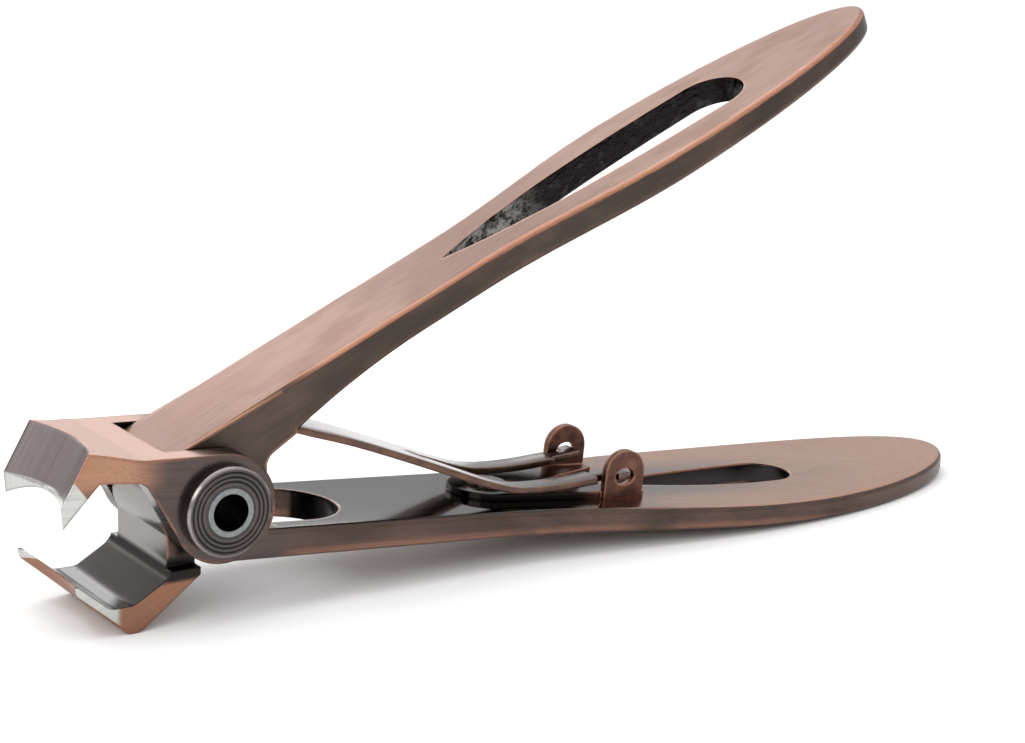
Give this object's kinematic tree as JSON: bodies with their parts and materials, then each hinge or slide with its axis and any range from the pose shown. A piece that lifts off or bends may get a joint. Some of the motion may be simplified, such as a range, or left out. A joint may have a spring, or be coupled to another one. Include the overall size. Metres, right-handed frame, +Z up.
{
  "type": "nail clipper",
  "caption": "Plier-type wide-jaw toenail clipper: crossed levers with slotted handles, hollow-ground jaws, hollow rivet pivot and forked leaf spring.",
  "frame": {"origin": "centre of the pivot, halfway along the hollow rivet", "axes": "+X along the handles away from the jaws, +Y along the pivot, +Z up with the tool standing on its lower jaw and lower handle"},
  "size_m": [0.1156, 0.0238, 0.0555],
  "materials": {
    "copper_plated_steel": "antique copper plating, brushed and relieved to dark brown in the hollows",
    "dark_turned_steel": "turned and blackened",
    "bare_steel_tube": "bare",
    "copper_plated_sheet": "tumbled antique copper",
    "polished_spring_steel": "polished"
  },
  "bodies": {
    "lower_lever": {"lower_lever": "copper_plated_steel", "pivot_collar_near": "dark_turned_steel", "pivot_collar_far": "dark_turned_steel", "pivot_tube": "bare_steel_tube", "spring_bracket": "copper_plated_sheet", "bracket_rivet": "dark_turned_steel"},
    "upper_lever": {"upper_lever": "copper_plated_steel"},
    "spring": {"leaf_spring": "polished_spring_steel"}
  },
  "joints": [
    {"name": "pivot", "type": "hinge", "parent": "lower_lever", "child": "upper_lever", "pos_m": [0, 0, 0], "axis": [0, 1, 0], "range_deg": [0, 19.2], "stiffness_Nm_per_rad": 0.3, "springref_deg": -20.05},
    {"name": "leaf_flex", "type": "hinge", "parent": "lower_lever", "child": "spring", "pos_m": [0.0365, 0, -0.0049], "axis": [0, 1, 0], "range_deg": [-9.8, 0], "deforming": ["leaf_spring"]}
  ],
  "couplings": [
    {"joint": "leaf_flex", "follows": "pivot", "ratio": -0.5}
  ]
}
